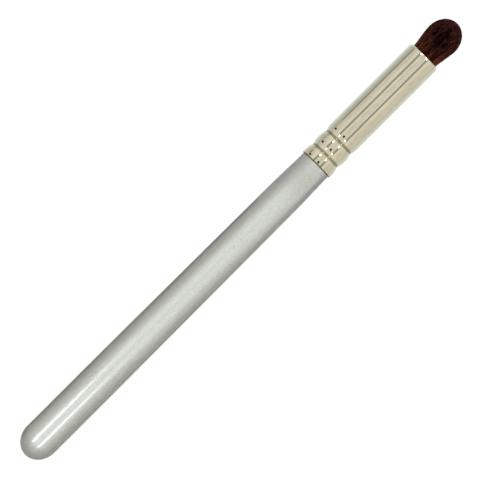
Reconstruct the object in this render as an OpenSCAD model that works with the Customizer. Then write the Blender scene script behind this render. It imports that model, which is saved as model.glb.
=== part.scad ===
// Eyeshadow brush lying on its side, with the hair towards +X and +Z up.
// The origin is on the surface that it lies on, under the middle of its length.
// Each piece is drawn standing on its butt, along the brush's own axis, and is then laid down.

/* [Handle] */
// Length of the handle that shows, from the butt to the ferrule
handle_length = 102.55; // [70:0.05:160]
// Diameter of the straight grip band next to the butt
grip_d = 9.6; // [7:0.1:14]
// Length of the straight grip band
grip_length = 18.5; // [8:0.5:40]
// Length of the rounded butt
butt_length = 5.5; // [2:0.1:12]
// Diameter at the waist, where the long taper ends
waist_d = 9.1; // [7:0.1:13]
// Length of the neck between the waist and the ferrule
neck_length = 11; // [4:0.5:25]

/* [Ferrule] */
// Length of the ferrule
ferrule_length = 38.5; // [34:0.5:60]
// Outer diameter of the ferrule's tube
ferrule_d = 9.25; // [7:0.05:14]
// Thickness of the tube's wall
ferrule_wall = 0.35; // [0.3:0.01:0.5]
// Step up from the handle's surface to the tube's
lip_step = 0.32; // [0.1:0.01:0.38]
// Radius of the burnished edge at the lip
lip_edge = 0.12; // [0.05:0.01:0.25]
// Rise of the bead at the lip above the tube
lip_swell = 0.1; // [0:0.01:0.2]
// Distance from the lip to the middle of the first crimp
first_crimp = 3.35; // [2.3:0.05:6]
// Distance between the middles of the two crimps
crimp_pitch = 4.65; // [4.4:0.05:7]
// Depth of a crimp
crimp_depth = 0.45; // [0.1:0.05:1]
// Width of a crimp's floor
crimp_floor = 0.2; // [0.1:0.05:0.4]
// Length of the rounded shoulder on each side of a crimp
crimp_shoulder = 1.9; // [0.5:0.05:2.2]
// Radius that the mouth is turned in by
mouth_turn = 0.8; // [0.5:0.05:1.2]

/* [Inside the ferrule] */
// Length of the handle's tenon
tenon_length = 17; // [13.5:0.5:22]
// Bevel at the tenon's end
tenon_bevel = 0.6; // [0.2:0.1:1.5]
// Thickness of the glue film round the tenon
glue_film = 0.08; // [0.06:0.01:0.2]
// Length of hair held inside the ferrule
root_length = 12; // [8:0.5:15]
// Thickness of the resin behind the roots
plug_length = 2.5; // [1:0.1:4]
// Depth to which the roots sit in the resin
plug_socket = 1.5; // [0.5:0.1:3]
// Number of turns in the thread that binds the roots
binding_turns = 7; // [3:1:14]
// Clearance between the thread and the ferrule's bore
binding_fit = 0.03; // [0.01:0.01:0.1]

/* [Hair] */
// Length of the hair outside the ferrule
hair_length = 11.7; // [8:0.1:25]
// Widest diameter of the hair
hair_d = 9.3; // [8.5:0.1:14]
// Distance from the mouth to the hair's widest place
belly_height = 6.2; // [4:0.1:7.5]
// Distance from the mouth's rim in to the row where the strands part
mouth_recess = 0.4; // [0.1:0.05:1]
// Clearance between the hair and the ferrule
hair_fit = 0.05; // [0.02:0.01:0.15]
// Number of strands
strands = 400; // [300:10:500]

/* [Hidden] */
$fn = 48;

// Places along the brush, from the tip of the butt
grip_end = butt_length + grip_length;
waist_z = handle_length - neck_length;
mouth_z = handle_length + ferrule_length;
roots_z = mouth_z - root_length;
overall_length = mouth_z + hair_length;

// Radii that the pieces share
grip_r = grip_d / 2;
waist_r = waist_d / 2;
tube_r = ferrule_d / 2;
bore_r = tube_r - ferrule_wall;
shoulder_r = tube_r - lip_step;
tenon_r = bore_r - glue_film;
mouth_r = tube_r - mouth_turn;
bundle_r = mouth_r - hair_fit;
thread_r = (bore_r - bundle_r - binding_fit) / 2;
rest_height = max(grip_d, ferrule_d + 2 * lip_swell, hair_d) / 2;

// Number of steps along the rounded stretches of the outlines
butt_steps = 14;
taper_steps = 10;
neck_steps = 10;
bead_steps = 6;
crimp_steps = 8;
turn_steps = 6;
// How strongly the taper bends towards the waist
taper_power = 1.4;
// How much steeper a crimp's shoulder gets towards its floor
crimp_power = 2.2;
// Distance between two turns of thread as a share of its thickness
thread_lay_share = 0.9;
// Cuts and joints run past the surface by this much
overrun = 0.2;

// Angle from one strand to the next, which spreads them evenly over the bundle
golden_angle = 137.508;
// Thickness of a strand as a share of the room that it has in the bundle
strand_fill_share = 0.68;
// Places along a strand, and its girth there, as shares of its length and of its thickness
ring_shares = [0.4, 0.82];
girth_shares = [1.12, 0.8];
// How far the tips draw together over the dome, from 0 for not at all
gather_share = 0.8;
// How strongly the hair flares out of the mouth before the belly
flare_power = 1.2;

strand_r = strand_fill_share * bundle_r / sqrt(strands);
neck_r = bundle_r - strand_r;
belly_r = hair_d / 2 - strand_r * girth_shares[0];
dome_height = hair_length - belly_height;

// Lays a piece that stands on the butt down along X
module laid() {
    translate([-overall_length / 2, 0, rest_height]) rotate([0, 90, 0]) children();
}

// Turns an outline of [radius, height] points round the brush's axis
module turned(outline) {
    laid() rotate_extrude() polygon(outline);
}

// Rounded butt, a quarter of an ellipse from the axis out to the grip band
butt_outline = [
    for (i = [0:butt_steps])
        let (a = 90 * i / butt_steps)
        [grip_r * sin(a), butt_length * (1 - cos(a))]
];

// Long taper from the grip band to the waist
taper_outline = [
    for (i = [0:taper_steps])
        let (u = i / taper_steps)
        [grip_r + (waist_r - grip_r) * pow(u, taper_power), grip_end + (waist_z - grip_end) * u]
];

// Neck that eases from the waist down to the ferrule
neck_outline = [
    for (i = [1:neck_steps])
        let (u = i / neck_steps)
        [waist_r + (shoulder_r - waist_r) * (1 - cos(180 * u)) / 2, waist_z + neck_length * u]
];

// Outline of the ferrule's outside as [radius, distance from the lip], pushed in by an inset.
// One crimp is a narrow floor between two rounded shoulders.
function shoulder(at, inset, side) = [
    for (i = [0:crimp_steps])
        let (u = i / crimp_steps)
        [
            tube_r - inset - crimp_depth * pow(1 - u, crimp_power),
            at + side * (crimp_floor / 2 + crimp_shoulder * u)
        ]
];
function crimp(at, inset) = concat(reversed(shoulder(at, inset, -1)), shoulder(at, inset, 1));

// Bead between the lip and the first crimp, without its two ends
bead_start = lip_edge;
bead_end = first_crimp - crimp_floor / 2 - crimp_shoulder;
function bead(inset) = [
    for (i = [1:bead_steps - 1])
        let (u = i / bead_steps)
        [tube_r - inset + lip_swell * sin(180 * u), bead_start + (bead_end - bead_start) * u]
];

function crimps(inset) = concat(crimp(first_crimp, inset), crimp(first_crimp + crimp_pitch, inset));

// Burnished edge at the lip, from the end face out to the tube
lip_outline = [
    for (i = [0:turn_steps])
        let (a = 90 * i / turn_steps)
        [tube_r - lip_edge + lip_edge * sin(a), lip_edge - lip_edge * cos(a)]
];

// Quarter turn at the mouth, of the tube's outside or, with an inset, of its bore
function mouth(inset) = [
    for (i = [0:turn_steps])
        let (a = 90 * i / turn_steps, r = mouth_turn - inset)
        [mouth_r + r * cos(a), ferrule_length - mouth_turn + r * sin(a)]
];

function reversed(points) = [for (i = [len(points) - 1:-1:0]) points[i]];
function raised(points, by) = [for (p = points) [p[0], p[1] + by]];

ferrule_outside = concat(lip_outline, bead(0), crimps(0), mouth(0));
ferrule_inside = concat([[bore_r, 0]], bead(ferrule_wall), crimps(ferrule_wall), mouth(ferrule_wall));

// Side of the bore, or of what fits in it, from the lip to where the tenon's bevel starts
function bore_side(inset) = concat(
    [[tube_r - inset, 0]], bead(inset), crimps(inset), [[tube_r - inset, tenon_length - tenon_bevel]]
);

// The glue film fills the bore, and the tenon inside it never swells with the bead
glue_side = bore_side(ferrule_wall);
tenon_side = [for (p = bore_side(ferrule_wall + glue_film)) [min(p[0], tenon_r), p[1]]];
tenon_end = [[tenon_r - tenon_bevel, tenon_length], [0, tenon_length]];

module handle() {
    color([0.76, 0.77, 0.74])
        turned(concat(
            butt_outline, taper_outline, neck_outline,
            raised(concat(tenon_side, tenon_end), handle_length)
        ));
}

module ferrule() {
    color([0.80, 0.76, 0.66])
        turned(raised(concat(ferrule_outside, reversed(ferrule_inside)), handle_length));
}

module tenon_glue() {
    color([0.86, 0.80, 0.60])
        turned(raised(concat(glue_side, reversed(tenon_side)), handle_length));
}

// Cup of resin with the roots in its socket
module root_plug() {
    color([0.72, 0.56, 0.30])
        turned([
            [0, roots_z - plug_length],
            [bore_r, roots_z - plug_length],
            [bore_r, roots_z + plug_socket],
            [bundle_r, roots_z + plug_socket],
            [bundle_r, roots_z],
            [0, roots_z]
        ]);
}

// Turns of thread pressed side by side round the bundle
module tuft_binding() {
    lay = 2 * thread_r * thread_lay_share;
    color([0.85, 0.82, 0.74])
        laid() rotate_extrude()
            for (i = [0:binding_turns - 1])
                translate([bundle_r + thread_r, roots_z + plug_socket + thread_r + lay * i])
                    circle(r = thread_r);
}

// Flow of the hair. A strand's share says how far out it stands, from 0 on the axis to 1 outside.
function strand_share(i) = sqrt((i + 0.5) / strands);

// Height above the mouth at which a strand meets the dome
function tip_height(share) =
    belly_height + dome_height * sqrt((1 - share * share) / (1 - pow(share * gather_share, 2)));

// Radius of the whole tuft at a height above the mouth: bundle, flare and gathered dome
function tuft_r(h) =
    h <= 0 ? neck_r
    : h < belly_height ? neck_r + (belly_r - neck_r) * (1 - pow(1 - h / belly_height, flare_power))
    : belly_r * sqrt(1 - pow(gather_share * (h - belly_height) / dome_height, 2));

// Three corners of a strand round its middle, at a height above the mouth
function strand_ring(i, h, girth) =
    let (r = strand_share(i) * tuft_r(h), a = golden_angle * i)
    [for (k = [0:2])
        [
            r * cos(a) + girth * strand_r * cos(a + 120 * k),
            r * sin(a) + girth * strand_r * sin(a + 120 * k),
            mouth_z + h
        ]
    ];

function strand_points(i) =
    let (tip = tip_height(strand_share(i)), root = -mouth_recess - overrun)
    concat(
        strand_ring(i, root, 1),
        [for (k = [0:1]) each strand_ring(i, tip * ring_shares[k], girth_shares[k])],
        [strand_ring(i, tip, 0)[0]]
    );

// Triangles of a strand whose points start at n: its root, two bands of sides and its pointed tip
function strand_faces(n) = concat(
    [[n, n + 1, n + 2]],
    [for (ring = [0:1], k = [0:2])
        let (a = n + 3 * ring + k, b = n + 3 * ring + (k + 1) % 3)
        each [[a, a + 3, b + 3], [a, b + 3, b]]
    ],
    [for (k = [0:2]) [n + 6 + k, n + 9, n + 6 + (k + 1) % 3]]
);
points_each = len(strand_points(0));

// The bundle that is held in the ferrule, and the strands that grow out of its end
module hair_tuft() {
    color([0.20, 0.11, 0.08]) laid() union() {
        translate([0, 0, roots_z]) cylinder(r = bundle_r, h = root_length - mouth_recess);
        polyhedron(
            points = [for (i = [0:strands - 1]) each strand_points(i)],
            faces = [for (i = [0:strands - 1]) each strand_faces(points_each * i)]
        );
    }
}

handle();
ferrule();
tenon_glue();
root_plug();
tuft_binding();
hair_tuft();
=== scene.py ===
import math
import random

import bmesh
import bpy
from mathutils import Matrix, Vector


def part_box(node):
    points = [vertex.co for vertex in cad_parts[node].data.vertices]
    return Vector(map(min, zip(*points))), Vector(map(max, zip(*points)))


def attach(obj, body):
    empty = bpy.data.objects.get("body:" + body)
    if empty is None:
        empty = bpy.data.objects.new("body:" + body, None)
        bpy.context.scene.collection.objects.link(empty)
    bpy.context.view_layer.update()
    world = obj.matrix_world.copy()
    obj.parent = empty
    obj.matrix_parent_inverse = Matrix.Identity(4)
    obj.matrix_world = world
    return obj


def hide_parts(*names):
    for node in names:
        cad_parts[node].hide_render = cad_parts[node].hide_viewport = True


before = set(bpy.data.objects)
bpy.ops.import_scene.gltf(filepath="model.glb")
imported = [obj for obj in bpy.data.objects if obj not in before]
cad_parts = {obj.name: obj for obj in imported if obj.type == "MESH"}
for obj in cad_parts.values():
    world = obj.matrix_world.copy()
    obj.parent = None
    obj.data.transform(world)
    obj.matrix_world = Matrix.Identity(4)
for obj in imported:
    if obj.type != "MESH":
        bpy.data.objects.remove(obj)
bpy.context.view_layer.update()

# Handle
# Turned hardwood rod with a rounded butt, a straight grip band, a long taper and a neck. Its tenon is
# pressed, glued and crimped into the ferrule. It is sprayed with silver lacquer under a clear gloss coat.
MM = 0.001
butt_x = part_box("handle")[0].x
tenon_end_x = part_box("handle")[1].x
lip_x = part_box("ferrule")[0].x
mouth_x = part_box("ferrule")[1].x
axis_z = (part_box("handle")[0].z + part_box("handle")[1].z) / 2

grip_r = (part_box("handle")[1].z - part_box("handle")[0].z) / 2
waist_r = 4.55 * MM
butt_length = 5.5 * MM
grip_length = 18.5 * MM
neck_length = 11 * MM
taper_power = 1.4
tube_r = 4.625 * MM
tube_wall = 0.35 * MM
lip_step = 0.32 * MM
glue_film = 0.08 * MM
tenon_bevel = 0.6 * MM
first_crimp = 3.35 * MM
crimp_pitch = 4.65 * MM
crimp_depth = 0.45 * MM
crimp_floor = 0.2 * MM
crimp_shoulder = 1.9 * MM
crimp_power = 2.2
lip_edge = 0.12 * MM
lip_swell = 0.07 * MM
bead_top = 0.95 * MM
bead_end = 1.85 * MM
butt_steps, taper_steps, neck_steps = 36, 28, 22
turning_steps = 160
merge_distance = 0.0005 * MM
smooth_angle = math.radians(50)

quarter = math.pi / 2
grip_end = butt_x + butt_length + grip_length
waist_x = lip_x - neck_length
shoulder_r = tube_r - lip_step
tenon_r = tube_r - tube_wall - glue_film


def stretch(steps, place, skip_first=False):
    """Points of one stretch of an outline: place gives (x, radius) for a share from 0 to 1."""
    return [place(i / steps) for i in range(1 if skip_first else 0, steps + 1)]


def crimp_points(at, inset, steps=16):
    """Outline across one crimp: a narrow floor between two rounded shoulders."""
    shares = [i / steps for i in range(steps + 1)]
    rise = [tube_r - inset - crimp_depth * (1 - s) ** crimp_power for s in shares]
    reach = [crimp_floor / 2 + crimp_shoulder * s for s in shares]
    near = [(at - x, r) for x, r in zip(reach, rise)]
    far = [(at + x, r) for x, r in zip(reach, rise)]
    return near[::-1] + far


def bead_swell(x):
    """How far the bead beside the lip stands out: it rises in an arc and fades into the first crimp."""
    if x < bead_top:
        return lip_swell * (1 - ((bead_top - x) / (bead_top - lip_edge)) ** 2)
    return lip_swell * (1 + math.cos(math.pi * min(1, (x - bead_top) / (bead_end - bead_top)))) / 2


def crimped_side(inset, steps=18):
    """Side of the tube, or of what fits in it, from the lip past both crimps, as (x from the lip, radius)."""
    first = crimp_points(first_crimp, inset)
    start, end = lip_edge, first[0][0]
    straight = [(start + (end - start) * i / steps, tube_r - inset) for i in range(1, steps)]
    side = straight + first + crimp_points(first_crimp + crimp_pitch, inset)
    return [(x, r + bead_swell(x)) for x, r in side]


def turn_on_axis(name, outline, closed):
    """Draws half an outline of (x, radius) with extrude and spins it round the brush's axis."""
    places = [Vector((x, 0, axis_z + r)) for x, r in outline]
    bpy.ops.object.select_all(action="DESELECT")
    bpy.ops.mesh.primitive_plane_add(size=merge_distance, location=places[0])
    piece = bpy.context.active_object
    piece.name = piece.data.name = name
    bpy.ops.object.transform_apply(location=True, rotation=True, scale=True)
    bpy.ops.object.mode_set(mode="EDIT")
    bpy.ops.mesh.select_mode(type="VERT")
    bpy.ops.mesh.merge(type="CENTER")
    for here, there in zip(places, places[1:]):
        bpy.ops.mesh.extrude_vertices_move(TRANSFORM_OT_translate={"value": there - here})
    bpy.ops.mesh.select_all(action="SELECT")
    if closed:
        bpy.ops.mesh.edge_face_add()
        bpy.ops.mesh.delete(type="ONLY_FACE")
        bpy.ops.mesh.select_all(action="SELECT")
    bpy.ops.mesh.spin(steps=turning_steps, angle=2 * math.pi, center=(0, 0, axis_z), axis=(1, 0, 0))
    bpy.ops.mesh.select_all(action="SELECT")
    bpy.ops.mesh.remove_doubles(threshold=merge_distance)
    bpy.ops.mesh.normals_make_consistent(inside=False)
    bpy.ops.object.mode_set(mode="OBJECT")
    bpy.ops.object.shade_smooth_by_angle(angle=smooth_angle)
    return piece


def butt_place(s):
    """Rounded butt, a quarter of an ellipse."""
    return butt_x + butt_length * (1 - math.cos(quarter * s)), grip_r * math.sin(quarter * s)


def taper_place(s):
    """Taper from the straight grip band to the waist."""
    return grip_end + (waist_x - grip_end) * s, grip_r + (waist_r - grip_r) * s ** taper_power


def neck_place(s):
    """Neck that draws in softly from the waist to the shoulder at the ferrule's lip."""
    return waist_x + neck_length * s, waist_r + (shoulder_r - waist_r) * (1 - math.cos(math.pi * s)) / 2


handle_outline = stretch(butt_steps, butt_place)
handle_outline += stretch(taper_steps, taper_place)
handle_outline += stretch(neck_steps, neck_place, skip_first=True)
handle_outline += [(lip_x, tenon_r)]
handle_outline += [(lip_x + x, min(r, tenon_r)) for x, r in crimped_side(tube_wall + glue_film)]
handle_outline += [(tenon_end_x - tenon_bevel, tenon_r), (tenon_end_x, tenon_r - tenon_bevel)]
handle_outline += [(tenon_end_x, 0)]
handle = turn_on_axis("lacquered_handle", handle_outline, closed=False)


def feed(tree, socket, value):
    """Gives an input its value, or links it where the value is another node's socket."""
    if isinstance(value, bpy.types.NodeSocket):
        tree.links.new(value, socket)
    else:
        socket.default_value = value


def fill(tree, node, **inputs):
    """Feeds a node's inputs by name. A name of several words is written with underscores."""
    for name, value in inputs.items():
        feed(tree, node.inputs[name.replace("_", " ")], value)
    return node


def add(tree, kind, **inputs):
    """Adds a node with its inputs."""
    return fill(tree, tree.nodes.new(kind), **inputs)


def span(tree, value, low, high, to_low, to_high):
    """Maps a value's span onto another one and gives the socket."""
    node = add(tree, "ShaderNodeMapRange", Value=value, From_Min=low, From_Max=high,
               To_Min=to_low, To_Max=to_high)
    return node.outputs["Result"]


def blend_colours(tree, share, first, second):
    """Mixes two colours by a share and gives the colour's socket."""
    node = tree.nodes.new("ShaderNodeMix")
    node.data_type = "RGBA"
    mix_inputs = (node.inputs[0], node.inputs[6], node.inputs[7])
    for socket, value in zip(mix_inputs, (share, first, second)):
        feed(tree, socket, value)
    return node.outputs[2]


def emboss(tree, shader, height, strength, depth):
    """Raises a mask as a bump on the shader's normal."""
    bump = add(tree, "ShaderNodeBump", Height=height, Strength=strength, Distance=depth)
    fill(tree, shader, Normal=bump.outputs["Normal"])


def new_material(name):
    """A node material, with its tree, its Principled shader and the place on the piece."""
    made = bpy.data.materials.new(name)
    made.use_nodes = True
    tree = made.node_tree
    return made, tree, tree.nodes["Principled BSDF"], tree.nodes.new("ShaderNodeTexCoord").outputs["Object"]


def make_handling_marks():
    """Group shared by the lacquer and the plating: hair-fine lines along the brush, and finger smudges."""
    line_stretch, line_slant = (0.12, 1, 1), (0, 0, 0.05)
    group = bpy.data.node_groups.new("handling_marks", "ShaderNodeTree")
    for name, kind in (("Place", "NodeSocketVector"), ("Line Scale", "NodeSocketFloat"),
                       ("Smudge Scale", "NodeSocketFloat")):
        group.interface.new_socket(name=name, in_out="INPUT", socket_type=kind)
    for name in ("Lines", "Smudges"):
        group.interface.new_socket(name=name, in_out="OUTPUT", socket_type="NodeSocketFloat")
    entry, leave = group.nodes.new("NodeGroupInput"), group.nodes.new("NodeGroupOutput")
    drawn_out = add(group, "ShaderNodeMapping", Vector=entry.outputs["Place"], Scale=line_stretch,
                    Rotation=line_slant)
    lines = add(group, "ShaderNodeTexNoise", Vector=drawn_out.outputs[0], Scale=entry.outputs["Line Scale"],
                Detail=3, Roughness=0.7)
    smudges = add(group, "ShaderNodeTexNoise", Vector=entry.outputs["Place"],
                  Scale=entry.outputs["Smudge Scale"], Detail=4, Roughness=0.55, Distortion=0.6)
    fill(group, leave, Lines=span(group, lines.outputs["Fac"], 0.35, 0.65, 0, 1),
         Smudges=span(group, smudges.outputs["Fac"], 0.4, 0.7, 0, 1))
    return group


def place_group(tree, group, **inputs):
    """Places a shared effect in a material with that material's own values."""
    node = tree.nodes.new("ShaderNodeGroup")
    node.node_tree = group
    return fill(tree, node, **inputs)


handling_marks = make_handling_marks()

flake_shade, flake_light = (0.447, 0.457, 0.408, 1), (0.553, 0.565, 0.507, 1)
# The colour below and its span are painted shade: the lacquer darkens to a thin line just before the
# ferrule's lip, in the corner of the step between handle and ferrule.
seam_painted_shade = (0.05, 0.045, 0.03, 1)
seam_shade_start, seam_shade_full = lip_x - 0.16 * MM, lip_x - 0.04 * MM

lacquer, tree, shader, place = new_material("silver_lacquer")
marks = place_group(tree, handling_marks, Place=place, Line_Scale=2600, Smudge_Scale=160)
flakes = add(tree, "ShaderNodeTexVoronoi", Vector=place, Scale=5000)
silver = blend_colours(tree, span(tree, flakes.outputs["Color"], 0.2, 0.9, 0, 1), flake_shade, flake_light)
along = add(tree, "ShaderNodeSeparateXYZ", Vector=place).outputs["X"]
# Painted shade at the step in front of the lip
seam_shade = span(tree, along, seam_shade_start, seam_shade_full, 0, 1)
fill(tree, shader, Base_Color=blend_colours(tree, seam_shade, silver, seam_painted_shade),
     Roughness=span(tree, marks.outputs["Smudges"], 0, 1, 0.38, 0.46),
     Specular_IOR_Level=0.12, Coat_Weight=0.6, Coat_Roughness=0.17, Coat_IOR=1.5)
emboss(tree, shader, marks.outputs["Lines"], strength=0.03, depth=0.02 * MM)
handle.data.materials.append(lacquer)
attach(handle, "root")
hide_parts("handle")

# Ferrule
# Drawn brass tube with two rolled crimps that lock it on the tenon, a burnished lip and a mouth that is
# turned in round the hair. It is nickel-plated in a pale champagne tone and polished bright.
mouth_turn = 0.8 * MM
mouth_r = tube_r - mouth_turn
lip_steps = 8


def tube_side(inset, steps=12):
    """Outline of one side of the tube's wall, from the lip to the mouth."""
    crimped = [(lip_x + x, r) for x, r in crimped_side(inset)]
    bend_r = mouth_turn - inset
    bend = stretch(steps, lambda s: (
        mouth_x - mouth_turn + bend_r * math.sin(quarter * s), mouth_r + bend_r * math.cos(quarter * s)))
    return crimped + bend


def lip_place(s):
    """Rounded outer edge of the lip."""
    return (lip_x + lip_edge - lip_edge * math.cos(quarter * s),
            tube_r - lip_edge + lip_edge * math.sin(quarter * s))


outside = stretch(lip_steps, lip_place) + tube_side(0)
inside = [(lip_x, tube_r - tube_wall)] + tube_side(tube_wall)
ferrule = turn_on_axis("crimped_ferrule", outside + inside[::-1], closed=True)

plating_shade, plating_light = (0.76, 0.711, 0.581, 1), (0.796, 0.75, 0.603, 1)
drawn_shade = (0.46, 0.43, 0.34, 1)
lip_yellow = (0.70, 0.64, 0.44, 1)
groove_dulling = (0.33, 0.30, 0.19, 1)
# The colour below, over the span set further down, is painted shade: the plating darkens to a thin line just
# past the rounded lip, where it meets the handle's step.
lip_painted_shade = (0.06, 0.055, 0.04, 1)
groove_floor_r, groove_top_r = tube_r - 0.36 * MM, tube_r - 0.29 * MM
yellow_from, yellow_to = lip_x + 1.4 * MM, lip_x + 2.6 * MM
lip_shade_from, lip_shade_to = lip_x + 0.14 * MM, lip_x + 0.24 * MM

plating, tree, shader, place = new_material("champagne_plating")
marks = place_group(tree, handling_marks, Place=place, Line_Scale=3000, Smudge_Scale=220)
clouds = add(tree, "ShaderNodeTexNoise", Vector=place, Scale=130, Detail=3)
cloudy = span(tree, clouds.outputs["Fac"], 0.3, 0.7, 0, 1)
champagne = blend_colours(tree, cloudy, plating_shade, plating_light)
drawn = span(tree, marks.outputs["Lines"], 0, 1, 0, 0.4)
champagne = blend_colours(tree, drawn, champagne, drawn_shade)
along = add(tree, "ShaderNodeSeparateXYZ", Vector=place).outputs["X"]
yellowed = span(tree, along, yellow_from, yellow_to, 0.45, 0)
champagne = blend_colours(tree, yellowed, champagne, lip_yellow)
from_axis = add(tree, "ShaderNodeMapping", Vector=place, Location=(0, 0, -axis_z), Scale=(0, 1, 1))
radius = add(tree, "ShaderNodeVectorMath", Vector=from_axis.outputs[0])
radius.operation = "LENGTH"
groove = span(tree, radius.outputs["Value"], groove_floor_r, groove_top_r, 1, 0)
dulled = blend_colours(tree, groove, champagne, groove_dulling)
# Painted shade along the lip, fading out away from it
seam_shade = span(tree, along, lip_shade_from, lip_shade_to, 1, 0)
fill(tree, shader, Base_Color=blend_colours(tree, seam_shade, dulled, lip_painted_shade),
     Roughness=span(tree, marks.outputs["Smudges"], 0, 1, 0.035, 0.08), Metallic=1)
emboss(tree, shader, marks.outputs["Lines"], strength=0.05, depth=0.004 * MM)
ferrule.data.materials.append(plating)
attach(ferrule, "root")
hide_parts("ferrule")

# Glue in the ferrule
# Amber adhesive that was brushed on the tenon. The press and the crimps squeezed it to a thin film, and it
# holds small bubbles.
amber_shade, amber_light = (0.62, 0.47, 0.20, 1), (0.86, 0.76, 0.50, 1)


def dress(node_name, material):
    """Gives a CAD piece whose shape is right its own material."""
    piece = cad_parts[node_name]
    piece.data.materials.clear()
    piece.data.materials.append(material)
    return piece


adhesive, tree, shader, place = new_material("amber_adhesive")
clouds = add(tree, "ShaderNodeTexNoise", Vector=place, Scale=420, Detail=4)
bubbles = add(tree, "ShaderNodeTexVoronoi", Vector=place, Scale=2200)
fill(tree, shader, Base_Color=blend_colours(tree, clouds.outputs["Fac"], amber_shade, amber_light),
     Roughness=span(tree, clouds.outputs["Fac"], 0, 1, 0.2, 0.4))
emboss(tree, shader, bubbles.outputs["Distance"], strength=0.3, depth=0.05 * MM)
glue = dress("tenon_glue", adhesive)

# Resin plug
# Clear brown resin, poured behind the hair roots while the ferrule stands on its mouth. It soaks into the
# roots and sets hard, with a cloudy meniscus.
resin_shade, resin_light = (0.30, 0.15, 0.05, 1), (0.62, 0.42, 0.18, 1)

resin, tree, shader, place = new_material("root_resin")
clouds = add(tree, "ShaderNodeTexNoise", Vector=place, Scale=260, Detail=5, Distortion=0.8)
fill(tree, shader, Base_Color=blend_colours(tree, clouds.outputs["Fac"], resin_shade, resin_light),
     Roughness=span(tree, clouds.outputs["Fac"], 0.3, 0.7, 0.12, 0.3), Coat_Weight=0.4)
emboss(tree, shader, clouds.outputs["Fac"], strength=0.2, depth=0.1 * MM)
plug = dress("root_plug", resin)

# Binding
# Waxed cotton thread, wound tightly round the roots of the hair to hold the bundle together before it goes
# into the ferrule.
cotton_shade, cotton_light = (0.58, 0.52, 0.41, 1), (0.82, 0.78, 0.68, 1)

cotton, tree, shader, place = new_material("waxed_cotton")
twist = add(tree, "ShaderNodeTexWave", Vector=place, Scale=900, Distortion=1.5, Detail=2)
fuzz = add(tree, "ShaderNodeTexNoise", Vector=place, Scale=6000, Detail=3)
fill(tree, shader, Base_Color=blend_colours(tree, twist.outputs["Fac"], cotton_shade, cotton_light),
     Roughness=span(tree, fuzz.outputs["Fac"], 0.3, 0.7, 0.55, 0.8), Sheen_Weight=0.3)
emboss(tree, shader, twist.outputs["Fac"], strength=0.6, depth=0.03 * MM)
binding = dress("tuft_binding", cotton)

# Hair
# Fine dark brown hair with natural tapered tips, set in a cup so that the tips form a dome, tied at the
# roots and held in the ferrule. It flares out of the mouth and draws together over the dome.
roots_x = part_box("hair_tuft")[0].x
tip_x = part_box("hair_tuft")[1].x
hair_width = 0.085 * MM
bundle_r = mouth_r - 0.05 * MM
bundle_sides = 96
bundle_rim, bundle_rim_rise = 0.35 * MM, 0.12 * MM
bundle_crown, bundle_crown_rise = 1.2 * MM, 0.03 * MM
end_facing = 0.9
hair_end_r = 4.65 * MM
belly_height = 6.2 * MM
dome_height = tip_x - mouth_x - belly_height
mouth_recess = 0.4 * MM
buried = 0.5 * MM
gather_share = 0.8
flare_power = 1.2
hairs = 8000
layers = 4
golden_angle = math.radians(137.508)
neck_r = bundle_r - hair_width
belly_r = hair_end_r - hair_width / 2

bpy.ops.object.select_all(action="DESELECT")
bpy.ops.mesh.primitive_cylinder_add(
    vertices=bundle_sides, radius=bundle_r, depth=mouth_x - mouth_recess - roots_x,
    location=((mouth_x - mouth_recess + roots_x) / 2, 0, axis_z), rotation=(0, quarter, 0))
bundle = bpy.context.active_object
bundle.name = bundle.data.name = "hair_bundle"
bpy.ops.object.transform_apply(location=True, rotation=True, scale=True)
bpy.ops.object.mode_set(mode="EDIT")
bpy.ops.mesh.select_mode(type="FACE")
bpy.ops.mesh.select_all(action="DESELECT")
shape = bmesh.from_edit_mesh(bundle.data)
for face in shape.faces:
    face.select_set(abs(face.normal.x) > end_facing)
bmesh.update_edit_mesh(bundle.data)
bpy.ops.mesh.inset(thickness=bundle_rim, depth=bundle_rim_rise)
bpy.ops.mesh.inset(thickness=bundle_crown, depth=bundle_crown_rise)
bpy.ops.object.mode_set(mode="OBJECT")
bpy.ops.object.shade_smooth_by_angle(angle=smooth_angle)

# One hair, modelled once: a three-sided rod of unit length with rings where it bends and a tapered tip
hair_rings = [0, 0.25, 0.5, 0.75, 0.97]
hair_girths = [0.8, 1, 1, 0.95, 0.8]


def model_one_hair():
    """A triangle at the root, extruded ring by ring to a pointed tip, along X from 0 to 1."""
    bpy.ops.object.select_all(action="DESELECT")
    bpy.ops.mesh.primitive_circle_add(vertices=3, radius=0.5, fill_type="NGON", rotation=(0, quarter, 0))
    one = bpy.context.active_object
    bpy.ops.object.transform_apply(location=True, rotation=True, scale=True)
    bpy.ops.object.mode_set(mode="EDIT")
    bpy.ops.mesh.select_mode(type="FACE")
    last = hair_girths[0]
    bpy.ops.mesh.select_all(action="SELECT")
    bpy.ops.transform.resize(value=(1, last, last))
    for before, here, girth in zip(hair_rings, hair_rings[1:], hair_girths[1:]):
        bpy.ops.mesh.extrude_region_move(TRANSFORM_OT_translate={"value": (here - before, 0, 0)})
        bpy.ops.transform.resize(value=(1, girth / last, girth / last))
        last = girth
    bpy.ops.mesh.extrude_region_move(TRANSFORM_OT_translate={"value": (1 - hair_rings[-1], 0, 0)})
    bpy.ops.mesh.merge(type="CENTER")
    bpy.ops.object.mode_set(mode="OBJECT")
    points = [v.co.copy() for v in one.data.vertices]
    faces = [list(p.vertices) for p in one.data.polygons]
    bpy.data.objects.remove(one)
    return points, faces


one_hair, one_hair_faces = model_one_hair()


def tip_height(share):
    """Height above the mouth at which a hair meets the dome, for a share from 0 on the axis to 1 outside."""
    return belly_height + dome_height * math.sqrt((1 - share ** 2) / (1 - (share * gather_share) ** 2))


def tuft_radius(height):
    """Radius of the whole tuft at a height above the mouth."""
    if height <= 0:
        return neck_r
    if height < belly_height:
        return neck_r + (belly_r - neck_r) * (1 - (1 - height / belly_height) ** flare_power)
    return belly_r * math.sqrt(max(0, 1 - (gather_share * (height - belly_height) / dome_height) ** 2))
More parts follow.
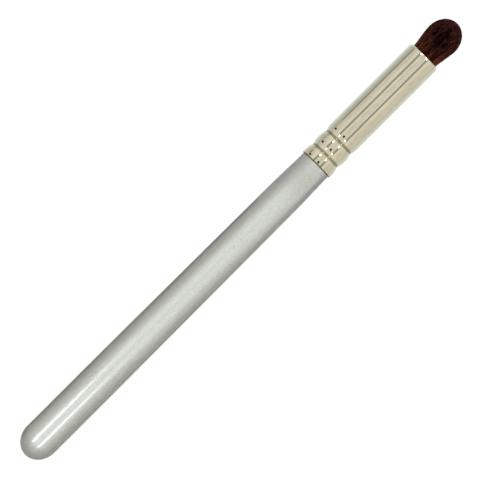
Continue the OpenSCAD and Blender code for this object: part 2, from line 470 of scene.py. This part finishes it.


# Hairs lean together in locks, which differ in tone. Along the top centre line their tone is darkened, a
# painted shade line; the hairs are not moved apart there
lock_count = 260
lock_leans = (-0.018, 0.015)
lock_pulls = (0.1, 0.6)
place_scatter, turn_scatter, swing_scatter = 0.004, 0.012, 0.01
tip_scatter = 0.03 * MM
girth_scatter = (0.8, 1.15)
darkest_tone, lock_tones, single_tones = 0.05, 0.4, 0.65
top_shade_width, top_shade_full_rise = 0.036, 0.5
rng = random.Random(7)
locks = []
for _ in range(lock_count):
    lock_share, lock_turn = math.sqrt(rng.uniform(0.02, 1)), rng.uniform(0, 2 * math.pi)
    locks.append((lock_share * math.cos(lock_turn), lock_share * math.sin(lock_turn), lock_turn,
                  rng.random(), rng.uniform(*lock_leans)))


def grow_hair(number):
    """Where one hair's points go, from its place in the golden-angle spiral, and the tone at each."""
    share = min(1, math.sqrt((number + 0.5) / hairs) * rng.gauss(1, place_scatter))
    turn = golden_angle * number + rng.gauss(0, turn_scatter)
    y, z = share * math.cos(turn), share * math.sin(turn)
    _, _, lock_turn, lock_tone, lock_lean = min(locks, key=lambda p: (p[0] - y) ** 2 + (p[1] - z) ** 2)
    swing = (share * rng.uniform(*lock_pulls) * math.remainder(lock_turn - turn, 2 * math.pi)
             + rng.gauss(0, swing_scatter))
    length = tip_height(share) - rng.expovariate(1 / tip_scatter)
    spin = rng.uniform(0, 2 * math.pi)
    width = hair_width * rng.uniform(*girth_scatter)
    # Painted shade: hairs near the top centre line get darker towards their tips
    top_painted_shade = math.exp(-(y / top_shade_width) ** 2) if z > 0 else 0
    tone = darkest_tone + lock_tones * lock_tone + single_tones * rng.random()
    placed, tones = [], []
    for point in one_hair:
        height = -buried - mouth_recess + (length + buried + mouth_recess) * point.x
        risen = max(0, height / length)
        reach = risen ** 2
        radius = tuft_radius(height) * share * (1 + lock_lean * reach)
        angle = turn + swing * reach
        sy = point.y * math.cos(spin) - point.z * math.sin(spin)
        sz = point.y * math.sin(spin) + point.z * math.cos(spin)
        placed.append((mouth_x + height, radius * math.cos(angle) + sy * width,
                       axis_z + radius * math.sin(angle) + sz * width))
        tones.append(tone * (1 - top_painted_shade * min(1, risen / top_shade_full_rise)))
    return placed, tones


def grow_layer(name, first, last):
    """One layer of hairs as its own mesh, with the hairs' tones kept on it."""
    points, faces, tones = [], [], []
    for number in range(first, last):
        placed, hair_tones = grow_hair(number)
        faces += [[len(points) + v for v in face] for face in one_hair_faces]
        points += placed
        tones += hair_tones
    mesh = bpy.data.meshes.new(name)
    mesh.from_pydata(points, [], faces)
    mesh.attributes.new("hair_tone", "FLOAT", "POINT").data.foreach_set("value", tones)
    mesh.shade_smooth()
    layer = bpy.data.objects.new(name, mesh)
    bpy.context.scene.collection.objects.link(layer)
    return layer


hair_layers = [grow_layer(f"hair_layer_{k + 1}", hairs * k // layers, hairs * (k + 1) // layers)
               for k in range(layers)]
hair_pieces = [bundle, *hair_layers]

root_shade, root_light = (0.020, 0.005, 0.003, 1), (0.097, 0.0265, 0.0132, 1)
tip_shade, tip_light = (0.003, 0.001, 0.001, 1), (0.041, 0.0104, 0.0082, 1)
fade_share = 0.75
fade_end = mouth_x + fade_share * belly_height

hair_brown, tree, shader, place = new_material("dark_brown_hair")
strands = add(tree, "ShaderNodeMapping", Vector=place, Scale=(400, 9000, 9000))
grain = add(tree, "ShaderNodeTexNoise", Vector=strands.outputs[0], Scale=1, Detail=2)
drawn_out = add(tree, "ShaderNodeMapping", Vector=place, Scale=(300, 1500, 1500))
streaks = add(tree, "ShaderNodeTexNoise", Vector=drawn_out.outputs[0], Scale=1, Detail=2, Roughness=0.85)
own_tone = tree.nodes.new("ShaderNodeAttribute")
own_tone.attribute_name = "hair_tone"
streaked = add(tree, "ShaderNodeMath", Value=span(tree, streaks.outputs["Fac"], 0.43, 0.59, 0, 2.5))
streaked.operation = "MULTIPLY"
tree.links.new(own_tone.outputs["Fac"], streaked.inputs[1])
near_mouth = blend_colours(tree, streaked.outputs[0], root_shade, root_light)
near_tips = blend_colours(tree, streaked.outputs[0], tip_shade, tip_light)
up_the_hair = add(tree, "ShaderNodeSeparateXYZ", Vector=place).outputs["X"]
tip_share = span(tree, up_the_hair, mouth_x, fade_end, 0, 1)
fill(tree, shader, Base_Color=blend_colours(tree, tip_share, near_mouth, near_tips),
     Roughness=span(tree, grain.outputs["Fac"], 0.3, 0.7, 0.38, 0.55), Specular_IOR_Level=0.03)
emboss(tree, shader, grain.outputs["Fac"], strength=0.2, depth=0.01 * MM)
for piece in hair_pieces:
    piece.data.materials.append(hair_brown)
    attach(piece, "root")
    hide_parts("hair_tuft")

# Studio
# Seamless white sweep in a white tent under a large overhead softbox, shot from above with a long lens.
# Cards and small lamps hang round the brush. They show only as reflections, or light one piece or the hair.
camera_height = 1.0
camera_tilt = 0.03
brush_turn = math.radians(44.95)
aim = Vector((-0.000565, -0.0001, axis_z))
picture_pixels = 481
pixel_size = 0.25 * MM
sensor_width = 36
white = (1, 1, 1)


def staged_plane(name, size, at, radiance, camera_sees=False, upright=False, tint=white):
    """A flat card that gives off its own even light and belongs to the studio."""
    bpy.ops.object.select_all(action="DESELECT")
    bpy.ops.mesh.primitive_plane_add(size=1, location=at, rotation=(quarter if upright else 0, 0, 0))
    card = bpy.context.active_object
    card.name = card.data.name = name
    card.scale = (size[0], size[1], 1)
    bpy.ops.object.transform_apply(location=False, rotation=True, scale=True)
    glow = bpy.data.materials.new(name)
    glow.use_nodes = True
    glow.node_tree.nodes.clear()
    light = add(glow.node_tree, "ShaderNodeEmission", Color=(*tint, 1), Strength=radiance)
    add(glow.node_tree, "ShaderNodeOutputMaterial", Surface=light.outputs[0])
    card.data.materials.append(glow)
    card.visible_camera = camera_sees
    card.visible_diffuse = False
    card.visible_shadow = False
    card.visible_transmission = False
    return card


def ramp(tree, value, stops):
    """Maps a value onto colours that change evenly from stop to stop, and gives the socket."""
    node = add(tree, "ShaderNodeValToRGB", Fac=value)
    for position, _ in stops[1:-1]:
        node.color_ramp.elements.new(position)
    for element, (_, colour) in zip(node.color_ramp.elements, stops):
        element.color = (*colour, 1)
    return node.outputs["Color"]


# The sweep looks white, and in reflections it is darker and differs across the brush
seen_grey, paper_grey = 0.93, 0.16
mirrored_reach = 0.12
mirrored_tint = (0.96, 1, 0.97)
mirrored_greys = ((0, 0.66), (0.25, 0.58), (0.39, 0.56), (0.45, 0.72),
                  (0.55, 0.70), (0.57, 0.52), (0.65, 0.44), (1, 0.38))
floor = staged_plane("floor", size=(6, 6), at=(0, 0, -0.02 * MM), radiance=1, camera_sees=True)
tree = floor.data.materials[0].node_tree
glow, surface = tree.nodes["Emission"], tree.nodes["Material Output"]
rays = tree.nodes.new("ShaderNodeLightPath")
place = tree.nodes.new("ShaderNodeTexCoord").outputs["Object"]
across = add(tree, "ShaderNodeSeparateXYZ", Vector=place).outputs["Y"]
mirrored = ramp(tree, span(tree, across, -mirrored_reach, mirrored_reach, 0, 1),
                [(share, [grey * part for part in mirrored_tint]) for share, grey in mirrored_greys])
seen = (seen_grey, seen_grey, seen_grey, 1)
fill(tree, glow, Color=blend_colours(tree, rays.outputs["Is Glossy Ray"], seen, mirrored))
paper = add(tree, "ShaderNodeBsdfDiffuse", Color=(paper_grey, paper_grey, paper_grey, 1))
both = tree.nodes.new("ShaderNodeAddShader")
tree.links.new(glow.outputs[0], both.inputs[0])
tree.links.new(paper.outputs[0], both.inputs[1])
fill(tree, surface, Surface=both.outputs[0])

# Cards: the rails and the lens give the dark lines along the ferrule, the next two a fine darker line and a
# dark edge along the lacquer, the latter a painted shadow of the floor beside the handle, and those on the
# far side the dark spots at the crimps
black = 0.01
hung_at = 0.3
rail_start, rail_end = -0.06, 0.25
rail_y = 0.165
lens_at = (-camera_height * camera_tilt, 0, camera_height * 0.9)
far_y = 0.6
far_screen_z = 0.04
screens_apart = 0.002
sides = ((-1, "a"), (1, "b"))
for side, letter in sides:
    staged_plane(f"rail_{letter}", size=(rail_end - rail_start, 0.08), radiance=0.38, tint=(0.96, 1.03, 0.96),
                 at=((rail_start + rail_end) / 2, side * rail_y, hung_at))
staged_plane("lens", size=(0.2, 0.2), at=lens_at, radiance=black)
staged_plane("glow_gap", size=(0.09, 0.016), at=(-0.005, -0.012, 0.25), radiance=black)
# Painted shadow: a black card lying beside the handle where the floor is in shade, seen only in the lacquer's
# reflection
staged_plane("floor_shadow_card", size=(0.088, 0.01), at=(-0.034, 0.013, 0.0003), radiance=black)
staged_plane("far_screen_end", size=(0.04, 0.12), at=(0.061, far_y + screens_apart, far_screen_z),
             radiance=0.52, upright=True)
staged_plane("far_screen", size=(0.12, 0.12), at=(0.14, far_y, far_screen_z), radiance=0.33, upright=True)
staged_plane("far_lamp_head", size=(0.105, 0.19), at=(0.013, far_y, 0.15), radiance=black, upright=True)


def hang_lamp(name, size, at, radiance, lit, turned=(0, 0, 0), shine_only=False, tint=white):
    """A rectangular lamp of even radiance that lights the given pieces and isn't seen itself."""
    data = bpy.data.lights.new(name, "AREA")
    data.shape = "RECTANGLE"
    data.size, data.size_y = size
    data.energy = radiance * math.pi * size[0] * size[1]
    data.color = tint
    lamp = bpy.data.objects.new(name, data)
    lamp.location = at
    lamp.rotation_euler = turned
    lamp.visible_camera = False
    lamp.visible_glossy = shine_only
    lamp.visible_diffuse = not shine_only
    lamp.light_linking.receiver_collection = bpy.data.collections.new(name)
    for piece in lit:
        lamp.light_linking.receiver_collection.objects.link(piece)
    bpy.context.scene.collection.objects.link(lamp)


def hang_shine(name, size, at, radiance, piece, **more):
    """A lamp that one piece mirrors and that gives nothing else any light."""
    hang_lamp(name, size, at, radiance, [piece], shine_only=True, **more)


# Lamps: the softbox, the soft glows on the lacquer, the bright lines at the butt, the glints at the crimps
# and the mouth, and the light on the tuft's edges, which comes from below and is weaker on the far side
lacquer_glows = ((0.26, 0.43, 2.9), (0.27, 0.8, 1.8), (0.28, 2.2, 1.3))
butt_lamp_y, crimp_lamp_y, mouth_lamp_y = 0.116, 0.139, 0.0102
low_reach = 0.25
low_radiance, low_slant = 55, 0.25
hang_lamp("softbox", size=(0.5, 0.5), at=(0, 0, 0.6), radiance=5,
          lit=[handle, ferrule, glue, plug, binding, floor, *hair_pieces])
for number, (height, width, radiance) in enumerate(lacquer_glows):
    hang_shine(f"lacquer_glow_{number + 1}", size=(0.395, width), at=(-0.1525, 0, height), radiance=radiance,
               piece=handle, tint=(0.96, 1.02, 1.05))
for side, letter in sides:
    hang_shine(f"butt_lamp_{letter}", size=(0.185, 0.055), at=(-0.1505, side * butt_lamp_y, 0.25),
               radiance=20, piece=handle)
    hang_shine(f"crimp_lamp_{letter}", size=(0.05, 0.02), at=(-0.087, side * crimp_lamp_y, hung_at),
               radiance=22, piece=ferrule)
    hang_shine(f"far_crimp_lamp_{letter}", size=(0.11, 0.025), at=(0.205, side * crimp_lamp_y, 0.295),
               radiance=12, piece=ferrule)
    hang_shine(f"mouth_lamp_{letter}", size=(0.05, 0.0022), at=(0.097, side * mouth_lamp_y, 0.03),
               radiance=12, piece=ferrule)
    hang_lamp(f"low_lamp_{letter}", size=(0.3, 0.05), at=(mouth_x, side * low_reach, -0.08),
              radiance=low_radiance * (1 - low_slant * side), lit=hair_pieces, turned=(-side * quarter, 0, 0))
hang_lamp("low_lamp_front", size=(0.05, 0.3), at=(mouth_x + low_reach, 0, 0.03), radiance=24,
          lit=hair_pieces, turned=(0, quarter, 0))
hang_shine("neck_glow", size=(0.1, 0.3), at=(0.06, -0.3, 0.15), radiance=2.9, piece=handle,
           turned=(quarter, 0, 0))
hang_shine("butt_glow", size=(0.16, 0.4), at=(-0.45, 0, 0.24), radiance=1.5, piece=handle,
           turned=(0, -quarter, 0))

# White tent: mirrored, its walls differ a little with their heading across the brush. Matt surfaces get a
# bounce from below, and the camera sees plain white.
wall_colours = (
    (0, (0.78, 0.76, 0.70)), (0.05, (0.80, 0.77, 0.62)), (0.1, (0.84, 0.81, 0.69)),
    (0.145, (0.94, 0.93, 0.91)), (0.2, (0.88, 0.87, 0.83)), (0.375, (0.88, 0.865, 0.82)),
    (0.45, (0.86, 0.84, 0.76)), (0.5, (0.79, 0.76, 0.65)), (0.55, (0.86, 0.84, 0.76)),
    (0.625, (0.88, 0.865, 0.82)), (0.8, (0.88, 0.87, 0.83)), (0.855, (0.94, 0.93, 0.91)),
    (0.9, (0.84, 0.82, 0.77)), (0.95, (0.795, 0.775, 0.70)), (1, (0.78, 0.76, 0.73)))
bounce_colours = ((0, (0.5, 0.5, 0.5)), (0.6, (0.1, 0.1, 0.1)), (1, (0.03, 0.03, 0.03)))
world = bpy.data.worlds.new("white_tent")
world.use_nodes = True
bpy.context.scene.world = world
sky = world.node_tree
sky.nodes.clear()
rays = sky.nodes.new("ShaderNodeLightPath")
heading = add(sky, "ShaderNodeSeparateXYZ", Vector=sky.nodes.new("ShaderNodeTexCoord").outputs["Generated"])
walls = ramp(sky, span(sky, heading.outputs["Y"], -1, 1, 0, 1), wall_colours)
bounce = ramp(sky, span(sky, heading.outputs["Z"], -1, 0, 0, 1), bounce_colours)
tent = blend_colours(sky, rays.outputs["Is Glossy Ray"], bounce, walls)
seen = blend_colours(sky, rays.outputs["Is Camera Ray"], tent, (*white, 1))
light = add(sky, "ShaderNodeBackground", Color=seen, Strength=1)
add(sky, "ShaderNodeOutputWorld", Surface=light.outputs[0])

lens_data = bpy.data.cameras.new("camera")
lens_data.sensor_width = sensor_width
lens_data.lens = sensor_width * camera_height / (picture_pixels * pixel_size)
camera = bpy.data.objects.new("camera", lens_data)
stance = Matrix.Rotation(-camera_tilt, 4, "Y") @ Matrix.Rotation(-brush_turn, 4, "Z")
camera.matrix_world = Matrix.Translation(aim + stance @ Vector((0, 0, camera_height))) @ stance
bpy.context.scene.collection.objects.link(camera)
bpy.context.scene.camera = camera
bpy.context.scene.view_settings.view_transform = "Standard"
